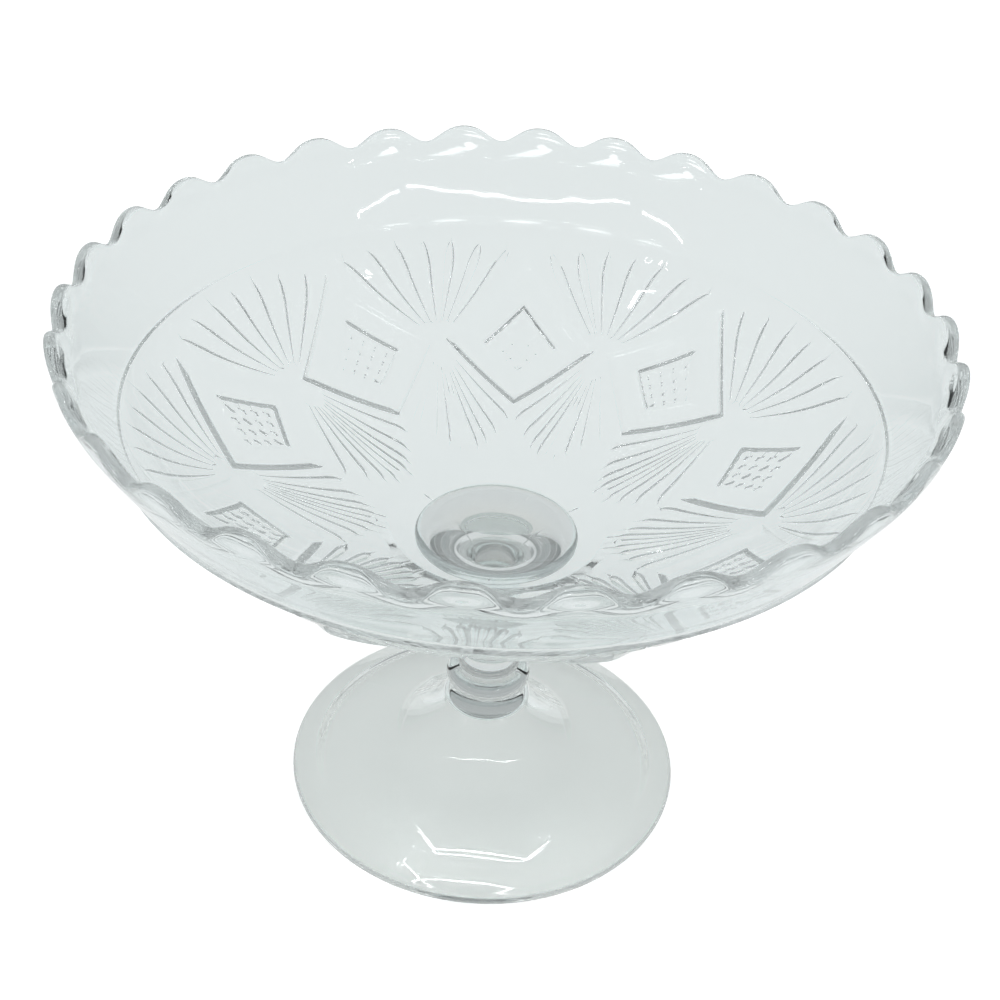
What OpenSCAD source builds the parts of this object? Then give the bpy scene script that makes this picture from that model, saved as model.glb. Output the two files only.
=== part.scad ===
// Footed compote bowl in pressed clear glass: a shallow bowl with a scalloped
// rim and a diamond and fan relief, a solid stem, a joining wafer and a foot.
// Origin at the middle of the foot's resting ring, +Z up, millimetres.

/* [Bowl] */
// Outer radius of the rim
rim_radius = 120.3; // [112:0.1:135]
// Outer radius where the plain band starts, above the pattern
crease_radius = 106.5; // [100:0.5:109]
// Outer radius where the floor turns up into the shoulder
shoulder_radius = 88; // [78:1:94]
// Radius of the flat seat under the bowl, and of the stem's flared top
seat_radius = 24.7; // [20:0.1:30]
// Slope of the outside next to the seat, in degrees
seat_slope = 12.5; // [8:0.5:18]
// Slope of the outside at the start of the shoulder, in degrees
shoulder_slope = 35; // [28:1:40]
// Slope of the outside below the plain band, in degrees
crease_slope = 55; // [48:1:58]
// Slope of the plain band, in degrees
band_slope = 60.5; // [59:0.5:70]
// Depth of the step at the foot of the plain band, where the pattern ends
crease_step = 0.6; // [0.3:0.05:0.9]
// Width of that step, up the band
crease_step_width = 1.2; // [0.8:0.1:2]
// Slope of the lip at its edge, in degrees
lip_slope = 84; // [78:1:88]
// Height of the lip, which curls up to the edge
lip_height = 8.5; // [7:0.5:12]
// Thickness of the floor and the shoulder
wall = 4.3; // [3.6:0.1:6]
// Thickness of the fire-polished edge
edge_wall = 3.4; // [2.4:0.1:4]

/* [Scallops] */
// Number of scallops round the rim
scallop_count = 30; // [24:1:36]
// Height of a scallop's tip above its valley
scallop_height = 5.1; // [3:0.1:6]
// How much broader a tip is than a valley, as a share of the half height
scallop_fullness_share = 0.23; // [0:0.01:0.3]

/* [Pattern] */
// Number of diamonds round the bowl, with one pair of fans between each two
diamond_count = 9; // [6:1:10]
// Radius of the diamonds' outer corners
diamond_top_radius = 100.3; // [96:0.1:104]
// Radius of the diamonds' side corners
diamond_side_radius = 76.8; // [72:0.1:80]
// Radius of the diamonds' inner corners
diamond_foot_radius = 54.2; // [50:0.1:60]
// Gap between the side corners of two diamonds
diamond_gap = 3.4; // [2:0.1:6]
// Width of the smooth frame between a diamond's outline and its middle field
frame_width = 7.4; // [5:0.1:9]
// Width of the groove that outlines a diamond
outline_width = 2.6; // [1.6:0.1:3.2]
// Depth of the groove that outlines a diamond
outline_depth = 0.9; // [0.5:0.05:1.4]
// Number of hobnails along one side of a diamond's middle field
hobnail_count = 3; // [2:1:4]
// Depth of a diamond's middle field, down between its hobnails
field_depth = 1; // [0.6:0.05:1.4]
// Height of a hobnail
hobnail_height = 0.7; // [0.3:0.05:0.8]
// Rays in an outer fan, on each side of its middle ray
outer_side_rays = 3; // [1:1:4]
// Radius of the tip of an outer fan's middle ray
outer_tip_radius = 103.5; // [101:0.1:105]
// Angle round the bowl between the tips of an outer fan, in degrees
outer_ray_step = 5.3; // [3:0.1:5.5]
// Rays in an inner fan, on each side of its middle ray
inner_side_rays = 4; // [1:1:5]
// Radius of the tip of an inner fan's middle ray
inner_tip_radius = 35.4; // [34:0.1:42]
// Angle round the bowl between the tips of an inner fan, in degrees
inner_ray_step = 4.55; // [3:0.05:5]
// Width of a ray at its broadest
ray_width = 2.4; // [1.4:0.1:2.8]
// Depth of a ray at its broadest
ray_depth = 0.8; // [0.4:0.05:1.2]

/* [Stem] */
// Height of the stem, from the wafer to the bowl
stem_height = 49.5; // [40:0.5:70]
// Radius of the ring at the foot of the stem
stem_ring_radius = 9.7; // [9:0.1:11]
// Height of the ring at the foot of the stem
stem_ring_height = 3.2; // [2:0.1:5]
// Radius of the stem at its waist
waist_radius = 8.4; // [7:0.1:8.8]
// Height of the waist, where the flare starts
waist_height = 24; // [16:0.5:30]
// Height of the rounded lip round the flare
flare_lip_height = 2.6; // [2:0.1:4]

/* [Joining wafer] */
// Radius of the wafer
wafer_radius = 12.9; // [12:0.1:15]
// Thickness of the wafer
wafer_height = 7; // [5:0.1:9]

/* [Foot] */
// Radius of the foot
foot_radius = 61.3; // [54:0.1:75]
// Height of the foot, from the table to the wafer
foot_height = 35; // [31:0.5:45]
// Radius of the foot at its top, under the wafer
foot_neck_radius = 10.4; // [10:0.1:11.6]
// Radius of the bottom of the dome
dome_radius = 29; // [25:0.5:34]
// Height of the bottom of the dome
dome_base_height = 14.2; // [12.5:0.1:16]
// Radius of the hollow flank of the dome
dome_flank_radius = 70; // [45:1:120]
// Radius of the crown of the disc, between the dome and the edge
disc_crown_radius = 130; // [90:1:260]
// Thickness of the edge of the foot
foot_edge = 3.2; // [2.6:0.1:4]
// Width of the flat ring that the foot rests on
rest_width = 9.5; // [7:0.1:14]
// Thickness of the glass in the foot, over the hollow underneath
foot_wall = 4.5; // [4:0.1:6]
// Height of the hollow under the dome
hollow_height = 27; // [20:0.5:28]

/* [Hidden] */
glass_colour = [0.86, 0.93, 0.92, 0.55];
// How far a cut runs past the glass that it opens
overrun = 1;
// Sides of the round edges, of the turned pieces and of the long arcs
edge_sides = 48;
turned_sides = 96;
arc_sides = 360;
// Sides of the triangle mesh of the bowl: the body, and the rim with its scallops
body_sides = 60;
rim_split = 4;
rim_sides = body_sides * rim_split;
// Steps of that mesh along the floor and the shoulder, outside and inside
floor_steps = 4;
shoulder_steps = 4;
inner_floor_steps = 3;
inner_shoulder_steps = 3;
// Where its rings lie up the lip, outside and inside, and round the edge in degrees
outer_lip_shares = [1, 0.5, 0];
inner_lip_shares = [0, 1];
edge_turns = [120, 60];
// Steps of the groove that outlines a diamond, along one side of it
outline_steps = 3;
// Clearance of a groove's cutter above the glass that it cuts
cutter_lift = 1.5;
// Where a ray's cutter changes section, along it, and its depth there
ray_station_shares = [0, 0.72, 1];
ray_depth_shares = [0, 1, 0];
// Where the rays start, as a share of the way from the junction to the tip
ray_start_share = 0.14;
// How far the outer rays of a fan end short of the middle one
outer_tip_drop = 2;
inner_tip_rise = 13;

// Heights of the pieces' joints
wafer_z = foot_height;
stem_z = wafer_z + wafer_height;
seat_z = stem_z + stem_height;

// Outside of the bowl, in three arcs and a straight band. Each arc runs between
// two slopes, and its radius follows from the radii that it joins.
floor_arc = (shoulder_radius - seat_radius) / (sin(shoulder_slope) - sin(seat_slope));
shoulder_arc = (crease_radius - shoulder_radius) / (sin(crease_slope) - sin(shoulder_slope));
lip_arc = lip_height / (cos(band_slope) - cos(lip_slope));
shoulder_z = seat_z + floor_arc * (cos(seat_slope) - cos(shoulder_slope));
crease_z = shoulder_z + shoulder_arc * (cos(shoulder_slope) - cos(crease_slope));
lip_radius = rim_radius - lip_arc * (sin(lip_slope) - sin(band_slope));
lip_z = crease_z + (lip_radius - crease_radius) * tan(band_slope);
centre_arc = seat_radius / sin(seat_slope);

// Slope, height and outward normal of the outside below the band, at a radius
function slope_at(r) =
    r < seat_radius ? asin(r / centre_arc)
    : r < shoulder_radius ? asin(sin(seat_slope) + (r - seat_radius) / floor_arc)
    : asin(min(sin(shoulder_slope) + (r - shoulder_radius) / shoulder_arc, sin(crease_slope)));
function height_at(r) =
    r < seat_radius ? seat_z - centre_arc * (cos(slope_at(r)) - cos(seat_slope))
    : r < shoulder_radius ? seat_z + floor_arc * (cos(seat_slope) - cos(slope_at(r)))
    : shoulder_z + shoulder_arc * (cos(shoulder_slope) - cos(slope_at(r)));

// Point [radius, height, slope] of the outside at a radius, and all such points
// from the seat to the crease, with n steps on the floor and m on the shoulder
function outside_point(r) = [r, height_at(r), slope_at(r)];
function outside_points(n, m) = concat(
    [for (i = [0:n - 1]) outside_point(seat_radius + (shoulder_radius - seat_radius) * i / n)],
    [for (i = [0:m]) outside_point(shoulder_radius + (crease_radius - shoulder_radius) * i / m)]);

// Point [radius, height, slope] of the lip's outside, at a height above its start
function lip_slope_at(h) = acos(cos(band_slope) - h / lip_arc);
function lip_point(h) = [
    lip_radius + lip_arc * (sin(lip_slope_at(h)) - sin(band_slope)), lip_z + h, lip_slope_at(h)];

// The same point moved into the glass by a thickness, square to the surface
function inset(p, t) = [p[0] - t * sin(p[2]), p[1] + t * cos(p[2]), p[2]];

// Foot of the plain band, above the step at the crease
band_foot = inset([
    crease_radius + crease_step_width * cos(band_slope),
    crease_z + crease_step_width * sin(band_slope),
    band_slope], crease_step);

// Drop of the edge below the scallops' tips, at an angle round the bowl. A tip
// stands at -90 degrees, on a seam of the mould.
function scallop_wave(a) =
    let (turn = (a + 90) * scallop_count)
    cos(turn) + scallop_fullness_share * (1 - cos(2 * turn)) / 2;
function edge_drop(a) = scallop_height * (1 - scallop_wave(a)) / 2;

// Rings of points, each [radius, height] for every angle
function level_ring(p, n) = [for (i = [0:n - 1])
    let (a = 360 * i / n) [p[0] * cos(a), p[0] * sin(a), p[1]]];
function lip_ring(share, side) = [for (i = [0:rim_sides - 1])
    let (
        a = 360 * i / rim_sides,
        h = (lip_height - edge_drop(a)) * share,
        p = lip_point(h),
        q = side > 0 ? p : inset(p, wall + (edge_wall - wall) * share))
    [q[0] * cos(a), q[0] * sin(a), q[1]]];
function edge_ring(turn) = [for (i = [0:rim_sides - 1])
    let (
        a = 360 * i / rim_sides,
        p = lip_point(lip_height - edge_drop(a)),
        c = inset(p, edge_wall / 2),
        r = c[0] + edge_wall / 2 * cos(turn + p[2] - 90),
        z = c[1] + edge_wall / 2 * sin(turn + p[2] - 90))
    [r * cos(a), r * sin(a), z]];

// All rings, from the middle of the floor over the rim to the seat. The mesh has
// a middle point at each end and changes from coarse to fine at the crease.
half_seat = seat_radius / 2;
inner_points = concat(
    [outside_point(half_seat)], outside_points(inner_floor_steps, inner_shoulder_steps));
outer_points = concat(outside_points(floor_steps, shoulder_steps), [band_foot]);
inside_rings = [for (p = inner_points) level_ring(inset(p, wall), body_sides)];
rim_rings = concat(
    [for (share = inner_lip_shares) lip_ring(share, -1)],
    [for (turn = edge_turns) edge_ring(turn)],
    [for (share = outer_lip_shares) lip_ring(share, 1)]);
outside_rings = [for (i = [len(outer_points) - 1:-1:0]) level_ring(outer_points[i], body_sides)];

// Joins the points of a list of lists into one list
function joined(lists) = [for (l = lists) for (x = l) x];

// Triangles between two rings of n points, the first at index a, the next at b
function strip(a, b, n) = joined([for (i = [0:n - 1])
    let (j = (i + 1) % n) [[a + i, b + i, b + j], [a + i, b + j, a + j]]]);
// Triangles from a ring of n points at a to a ring of n * k points at b
function fan_out(a, b, n, k) = joined([for (i = [0:n - 1])
    let (j = (i + 1) % n, m = floor(k / 2))
    concat(
        [for (s = [0:m - 1]) [a + i, b + i * k + s, b + i * k + s + 1]],
        [[a + i, b + i * k + m, a + j]],
        [for (s = [m:k - 1]) [a + j, b + i * k + s, b + (i * k + s + 1) % (n * k)]])]);
function flipped(faces) = [for (f = faces) [f[2], f[1], f[0]]];

module blank_bowl() {
    n = body_sides;
    m = rim_sides;
    inside = len(inside_rings);
    rim = len(rim_rings);
    outside = len(outside_rings);
    middle = [0, 0, height_at(0) + wall];
    seat_middle = [0, 0, seat_z];
    points = concat(
        [middle], joined(inside_rings), joined(rim_rings), joined(outside_rings), [seat_middle]);
    rim_at = 1 + inside * n;
    outside_at = rim_at + rim * m;
    last = outside_at + outside * n;
    faces = concat(
        [for (i = [0:n - 1]) [0, 1 + i, 1 + (i + 1) % n]],
        joined([for (k = [0:inside - 2]) strip(1 + k * n, 1 + (k + 1) * n, n)]),
        fan_out(rim_at - n, rim_at, n, rim_split),
        joined([for (k = [0:rim - 2]) strip(rim_at + k * m, rim_at + (k + 1) * m, m)]),
        flipped(fan_out(outside_at, outside_at - m, n, rim_split)),
        joined([for (k = [0:outside - 2]) strip(outside_at + k * n, outside_at + (k + 1) * n, n)]),
        [for (i = [0:n - 1]) [last, last - n + (i + 1) % n, last - n + i]]);
    polyhedron(points, flipped(faces), convexity = 10);
}

// A point over the outside, from its place in plan and its height out of the glass
function skin(p, lift) =
    let (r = norm(p), s = slope_at(r), q = r + lift * sin(s))
    [q * p[0] / r, q * p[1] / r, height_at(r) - lift * cos(s)];

// V-shaped groove between two places in plan, with its section at each station
module groove(from, to, width, depth, station_shares, depth_shares) {
    along = (to - from) / norm(to - from);
    across = [-along[1], along[0]];
    last = len(station_shares) - 1;
    sections = [for (i = [1:last - 1])
        let (
            p = from + (to - from) * station_shares[i],
            d = depth * depth_shares[i],
            half = width / 2 * depth_shares[i] * (d + cutter_lift) / d)
        [skin(p, -d), skin(p + across * half, cutter_lift), skin(p - across * half, cutter_lift)]];
    points = concat([skin(from, cutter_lift)], joined(sections), [skin(to, cutter_lift)]);
    end = len(points) - 1;
    faces = concat(
        [for (i = [0:2]) [0, 1 + i, 1 + (i + 1) % 3]],
        joined([for (k = [0:last - 3]) strip(1 + k * 3, 4 + k * 3, 3)]),
        [for (i = [0:2]) [end, end - 3 + (i + 1) % 3, end - 3 + i]]);
    polyhedron(points, flipped(faces));
}

// Place in plan at a radius and at an angle from the axis that points outward
function place(r, a) = [r * sin(a), r * cos(a)];

module fan(side_rays, ray_step, tip_radius, tip_change) {
    junction = place(diamond_side_radius, 0);
    for (i = [-side_rays:side_rays]) {
        tip = place(tip_radius + tip_change * pow(i / side_rays, 2), i * ray_step);
        groove(junction + (tip - junction) * ray_start_share, tip,
            ray_width, ray_depth, ray_station_shares, ray_depth_shares);
    }
}

// Half the angle that a diamond takes, and its corners in plan
side_angle = 180 / diamond_count - asin(diamond_gap / 2 / diamond_side_radius);
corners = [
    place(diamond_foot_radius, 0), place(diamond_side_radius, side_angle),
    place(diamond_top_radius, 0), place(diamond_side_radius, -side_angle)];
diamond_middle = (corners[0] + corners[1] + corners[2] + corners[3]) / 4;
diamond_reach = norm(corners[1] - corners[3]) / 2;
// Share of the diamond that its middle field takes, inside the frame
field_share = 1 - frame_width * sqrt(2) / diamond_reach;
field_corners = [for (c = corners) diamond_middle + (c - diamond_middle) * field_share];

// Closed V-shaped groove round a diamond, mitred at its corners
module diamond_outline() {
    loop = [for (i = [0:3]) for (s = [0:outline_steps - 1])
        corners[i] + (corners[(i + 1) % 4] - corners[i]) * s / outline_steps];
    n = len(loop);
    half_top = outline_width / 2 * (outline_depth + cutter_lift) / outline_depth;
    spread = half_top * sqrt(2) / diamond_reach;
    function resized(share) = [for (p = loop) diamond_middle + (p - diamond_middle) * share];
    points = concat(
        [for (p = loop) skin(p, -outline_depth)],
        [for (p = resized(1 + spread)) skin(p, cutter_lift)],
        [for (p = resized(1 - spread)) skin(p, cutter_lift)]);
    polyhedron(points, flipped(concat(strip(0, n, n), strip(n, 2 * n, n), strip(2 * n, 0, n))));
}

// Place in the middle field, from two shares along its sides
function field_place(a, b) =
    field_corners[0] * (1 - a) * (1 - b) + field_corners[1] * a * (1 - b)
    + field_corners[2] * a * b + field_corners[3] * (1 - a) * b;

// Sunk middle field whose floor rises into small pyramids, the hobnails
module hobnail_field() {
    n = 2 * hobnail_count;
    side = n + 1;
    function floor_lift(i, j) = i % 2 == 1 && j % 2 == 1 ? hobnail_height - field_depth : -field_depth;
    floor_grid = [for (i = [0:n]) for (j = [0:n]) skin(field_place(i / n, j / n), floor_lift(i, j))];
    roof_grid = [for (i = [0:n]) for (j = [0:n]) skin(field_place(i / n, j / n), cutter_lift)];
    roof = side * side;
    function cell(i, j) = i * side + j;
    floor_faces = joined([for (i = [0:n - 1]) for (j = [0:n - 1])
        let (a = cell(i, j), b = cell(i + 1, j), c = cell(i + 1, j + 1), d = cell(i, j + 1))
        (i + j) % 2 == 0 ? [[a, b, c], [a, c, d]] : [[a, b, d], [b, c, d]]]);
    roof_faces = [for (f = floor_faces) [f[2] + roof, f[1] + roof, f[0] + roof]];
    rim = concat(
        [for (i = [0:n - 1]) cell(i, 0)], [for (j = [0:n - 1]) cell(n, j)],
        [for (i = [n:-1:1]) cell(i, n)], [for (j = [n:-1:1]) cell(0, j)]);
    count = len(rim);
    wall_faces = joined([for (k = [0:count - 1])
        let (a = rim[k], b = rim[(k + 1) % count]) [[b, a, a + roof], [b, a + roof, b + roof]]]);
    polyhedron(concat(floor_grid, roof_grid), flipped(concat(floor_faces, roof_faces, wall_faces)));
}

module bowl() {
    color(glass_colour)
    difference() {
        blank_bowl();
        for (k = [0:diamond_count - 1]) {
            rotate(k * 360 / diamond_count - 180) {
                fan(outer_side_rays, outer_ray_step, outer_tip_radius, -outer_tip_drop);
                fan(inner_side_rays, inner_ray_step, inner_tip_radius, inner_tip_rise);
            }
            rotate(k * 360 / diamond_count - 180 + 180 / diamond_count) {
                diamond_outline();
                hobnail_field();
            }
        }
    }
}

// Half outline of a disc whose edge is fully rounded
module round_disc(radius, height) {
    r = height / 2;
    square([radius - r, height]);
    translate([radius - r, r]) circle(r, $fn = edge_sides);
}

// Solid stem: a ring at its foot, a plain shaft, and a flare that leaves the
// shaft upright and ends in the rounded lip under the bowl
module stem() {
    flare_radius = seat_radius - flare_lip_height / 2;
    run = flare_radius - waist_radius;
    rise = stem_height - flare_lip_height - waist_height;
    flare_arc = (run * run + rise * rise) / run / 2;
    color(glass_colour)
    translate([0, 0, stem_z])
    rotate_extrude($fn = turned_sides) {
        round_disc(stem_ring_radius, stem_ring_height);
        square([waist_radius, waist_height]);
        difference() {
            translate([0, waist_height]) square([flare_radius, rise]);
            translate([waist_radius + flare_arc, waist_height]) circle(flare_arc, $fn = arc_sides);
        }
        translate([0, stem_height - flare_lip_height]) round_disc(seat_radius, flare_lip_height);
    }
}

// Disc of glass that joins the stem to the foot
module joining_wafer() {
    color(glass_colour)
    translate([0, 0, wafer_z])
    rotate_extrude($fn = turned_sides)
    round_disc(wafer_radius, wafer_height);
}

// Middle of the arc of radius r from a to b that bulges to the right of that way
function arc_middle(a, b, r) =
    let (half = (b - a) / 2, d = norm(half)) a + half + [-half[1], half[0]] / d * sqrt(r * r - d * d);

// Foot: a crowned disc with a hollow-sided dome, hollow underneath
module foot() {
    edge_r = foot_edge / 2;
    disc_radius = foot_radius - edge_r;
    edge_top = [disc_radius, foot_edge];
    dome_foot = [dome_radius, dome_base_height];
    neck = [foot_neck_radius, foot_height];
    crown = arc_middle(edge_top, dome_foot, disc_crown_radius);
    flank = arc_middle(neck, dome_foot, dome_flank_radius);
    color(glass_colour)
    rotate_extrude($fn = turned_sides)
    difference() {
        union() {
            round_disc(foot_radius, foot_edge);
            intersection() {
                square([disc_radius, dome_base_height]);
                translate(crown) circle(disc_crown_radius, $fn = arc_sides);
            }
            dome_outline(dome_foot, neck, flank, dome_flank_radius);
        }
        intersection() {
            translate([-overrun, -overrun]) square([foot_radius - rest_width + overrun, foot_height]);
            translate(crown) circle(disc_crown_radius - foot_wall, $fn = arc_sides);
        }
        intersection() {
            translate([-overrun, -overrun]) square([dome_radius, hollow_height + overrun]);
            dome_outline(dome_foot, neck, flank, dome_flank_radius + foot_wall);
        }
    }
}

// Half outline of the dome, out to an arc round a middle beside it
module dome_outline(dome_foot, neck, flank, radius) {
    difference() {
        polygon([[0, 0], [dome_foot[0], 0], dome_foot, neck, [0, neck[1]]]);
        translate(flank) circle(radius, $fn = arc_sides);
    }
}

bowl();
stem();
joining_wafer();
foot();
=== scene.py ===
# Footed compote bowl in clear pressed glass, seen from above the rim. The sizes
# are in millimetres and become metres where a mesh is made.
from math import acos, asin, atan2, cos, hypot, pi, radians, sin, sqrt, tan

import bmesh
import bpy
import numpy as np
from mathutils import Matrix, Vector
from mathutils.geometry import delaunay_2d_cdt


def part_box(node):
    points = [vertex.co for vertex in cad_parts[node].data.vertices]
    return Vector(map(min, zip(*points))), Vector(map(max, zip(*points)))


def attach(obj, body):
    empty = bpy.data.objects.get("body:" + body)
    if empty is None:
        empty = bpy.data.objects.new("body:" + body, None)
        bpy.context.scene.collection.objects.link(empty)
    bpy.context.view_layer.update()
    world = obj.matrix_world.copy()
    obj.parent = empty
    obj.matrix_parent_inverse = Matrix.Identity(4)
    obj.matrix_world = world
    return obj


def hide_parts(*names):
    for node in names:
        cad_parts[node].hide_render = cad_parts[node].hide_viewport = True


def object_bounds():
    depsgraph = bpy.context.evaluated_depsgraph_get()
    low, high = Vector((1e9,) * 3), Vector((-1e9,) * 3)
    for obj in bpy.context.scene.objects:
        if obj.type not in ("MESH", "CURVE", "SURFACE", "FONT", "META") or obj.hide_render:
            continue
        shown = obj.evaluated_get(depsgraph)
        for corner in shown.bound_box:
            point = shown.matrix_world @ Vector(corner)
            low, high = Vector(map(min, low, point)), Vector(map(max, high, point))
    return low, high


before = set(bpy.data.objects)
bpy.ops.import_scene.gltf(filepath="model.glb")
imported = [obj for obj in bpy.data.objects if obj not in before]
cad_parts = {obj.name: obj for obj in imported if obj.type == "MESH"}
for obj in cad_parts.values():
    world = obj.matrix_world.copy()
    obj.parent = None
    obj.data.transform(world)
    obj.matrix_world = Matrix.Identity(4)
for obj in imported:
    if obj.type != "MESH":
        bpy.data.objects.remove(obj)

MM = 0.001
cad_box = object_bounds()
scene = bpy.context.scene

# Heights of the pieces, from the frame
FOOT_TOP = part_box("foot")[1][2] / MM
STEM_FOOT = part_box("stem")[0][2] / MM
SEAT_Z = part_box("bowl")[0][2] / MM

# Bowl
RIM_RADIUS = 120.3
CREASE_RADIUS = 106.5
SHOULDER_RADIUS = 88
SEAT_RADIUS = 24.7
SEAT_SLOPE = radians(12.5)
SHOULDER_SLOPE = radians(35)
CREASE_SLOPE = radians(55)
BAND_SLOPE = radians(60.5)
LIP_SLOPE = radians(84)
LIP_HEIGHT = 8.5
EDGE_HEIGHT = 8.28
CREASE_STEP = 0.6
CREASE_STEP_WIDTH = 1.2
WALL = 4.3
EDGE_WALL = 3.4

# Scallops: how many, how high, how much broader a tip is than a valley, and how
# much thicker the glass is in the middle of one
SCALLOPS = 30
SCALLOP_HEIGHT = 5.1
SCALLOP_FULLNESS = 0.23
BEAD_HEIGHT = 0.4
BEAD_DROP = 4.2
BEAD_WIDTH = 4.6
BEAD_RISE = 2.8

# Pattern, in plan: nine diamonds with a pair of fans between each two
DIAMONDS = 9
DIAMOND_TOP = 100.3
DIAMOND_SIDE = 76.8
DIAMOND_FOOT = 54.2
DIAMOND_GAP = 3.4
FRAME_WIDTH = 7.4
FRAME_LIFT = 0.5
GROUND_DROP = 0.85
BEVEL_WIDTH = 3.2
FIELD_BEVEL_WIDTH = 2.2
FIELD_DROP = 0.6
HOBNAILS = 4
HOBNAIL_HEIGHT = 0.75
OUTER_SIDE_RAYS = 3
OUTER_TIP = 103.5
OUTER_TIP_DROP = 2
OUTER_RAY_STEP = radians(5.3)
INNER_SIDE_RAYS = 4
INNER_TIP = 35.4
INNER_TIP_RISE = 13
INNER_RAY_STEP = radians(4.55)
OUTER_RAY_WIDTH = 3.2
INNER_RAY_WIDTH = 3.1
OUTER_RAY_DEPTH = 0.8
INNER_RAY_DEPTH = 0.62
PATTERN_INNER = 32.0

# Shape of the rays and bevels: where a ray starts between junction and tip, where
# along it it is broadest, how it widens (1 is straight) and how round a bevel is
# (1 is flat)
OUTER_RAY_START = 0.12
INNER_RAY_START = 0.16
OUTER_RAY_PEAK = 0.78
INNER_RAY_PEAK = 0.86
RAY_POWER = 0.9
BEVEL_POWER = 1.6

# Widths over which the pattern fades out, at the crease and at the seat
CREASE_FADE = 1.5
SEAT_FADE = 3

# Stem, wafer and foot
RING_RADIUS = 9.7
RING_HEIGHT = 3.2
WAIST_RADIUS = 8.4
WAIST_HEIGHT = 24
FLARE_LIP = 4.0
WAFER_RADIUS = 12.9
WAFER_EDGE = 0.3
FOOT_RADIUS = 61.3
NECK_RADIUS = 10.4
DOME_RADIUS = 29
DOME_BASE = 14.2
DOME_FLANK = 70
DISC_CROWN = 130
FOOT_EDGE = 3.2
REST_WIDTH = 7.8
REST_SLOPE_RUN = 3.5
FOOT_WALL = 4.5
HOLLOW_HEIGHT = 27

# Mould seams, in degrees round the axis, and how far they stand proud
SEAMS = (-90, 30, 150)
SEAM_LIFT = 0.22
TURNED_SEAM_LIFT = 0.05
SEAM_REACH = 28.5
SEAM_FADE = 2

# Columns of the meshes round the axis, and their rings
RIM_COLUMNS = 720
INNER_COLUMNS = 360
TURNED_COLUMNS = 120
FOOT_COLUMNS = 216
RING_STEP = 2.2
STEP_SHARES = (0.3, 0.85)
BAND_RINGS = 12
LIP_RINGS = 12
EDGE_RINGS = 12
INNER_LIP_RINGS = 18
INNER_BAND_SHARES = (0.17, 0.33, 0.5, 0.67, 0.83, 0.97)
SEAT_RINGS = 9
MIDDLE_RADIUS = 1.5

# Angles on each side of a seam of a turned piece: of the columns that shape it, and
# of the ones that make way for them
SEAM_SIDE = 0.012
SEAM_CLEAR = 0.01

# Lines that the mesh of the pattern follows, as shares of a bevel or of a ray, and
# the steps along them
FRAME_MARGIN = 0.35
BEVEL_SHARES = (0.15, 0.32, 0.5, 0.7, 0.9, 1.1)
FIELD_MARGIN = 0.4
FIELD_BEVEL_SHARES = (0.0, 0.25, 0.5, 0.7, 0.87, 1.0)
RAY_SHARES = (-1.2, -1, -0.75, -0.4, 0, 0.4, 0.75, 1, 1.2)
RAY_STATIONS = 13
RAY_TIP_SHARES = (0.7, 0.45, 0.25, 0.1, 0.03)
FRAME_STEP = 1.5
FIELD_STEP = 1.3
HOBNAIL_STEP = 2
SIDE_POINTS = 90

# Lattice of points between those lines: its spacing, the height of a row, the reach
# within which a line keeps it away, and the margins inside the border
FILL_SPACING = 2.0
FILL_ROW = 0.866
FILL_REACH = 0.55
RIM_MARGIN = 0.5
SIDE_MARGIN = 0.4

# Points closer than this are one: in plan in millimetres, and in a mesh in metres
PLAN_WELD = 0.02
MESH_WELD = 2e-6
SHARP_ANGLE = radians(38)
HAIR = 0.01
PLAIN = 0
FUSED = 1

# The table lies a hair under the foot, so that the two faces never coincide. Its
# radius, and the distance over which the painted shade of its tones runs, are in metres
FLOOR_GAP = 0.05
FLOOR_RADIUS = 3
FLOOR_REACH = 2

# Lamps, in metres: the long side of a frame behind the camera, which bows, its
# two short sides, and three bits of its far corners
LONG_SIDE = (0.43, -0.5, 0.63), (0.02, -0.641, 0.648), (-0.38, -0.538, 0.628)
LEFT_SIDE = (0.455, -0.483, 0.623), (0.586, -0.366, 0.582)
RIGHT_SIDE = (-0.43, -0.511, 0.616), (-0.576, -0.394, 0.571)
FAR_CORNERS = (
    ((0.42, -0.09, 0.87), (0.45, -0.11, 0.86)),
    ((-0.37, -0.145, 0.9), (-0.316, -0.031, 0.946)),
    ((-0.42, -0.143, 0.868), (-0.37, -0.145, 0.898)))
FRAME_TUBE = 0.002
CORNER_TUBE = 0.012

# A row of small panels behind the camera, which light the scallops opposite
PANELS = 5
PANEL_ROW = (0.01, -0.64, 0.5)
PANEL_STEP = 0.29
PANEL_WIDTH = 0.15
PANEL_HEIGHT = 0.19
PANEL_SPREAD = radians(16)
LOBE_RING = 0.114
LOBE_HEIGHT = 0.162

# Two small trays of strips under the bowl, which shine down on the foot: middle,
# half length, and how far the short strips reach out and back
UNDER_BOWL = 0.08
FOOT_TUBE = 0.0008
FOOT_SPREAD = radians(40)
FOOT_AIM = -0.052, 0.005
FOOT_AIM_SHARE = 0.45
NEAR_TRAY = 0.005, -0.048, 0.03, 0.0135, 0.0165
FAR_TRAY = 0.009, -0.069, 0.043, 0.0115, 0.011

# Watts for each square metre of a strip
BOWL_GLOW = 70
PANEL_GLOW = 0.19
NEAR_FOOT_GLOW = 8
FAR_FOOT_GLOW = 5

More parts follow.
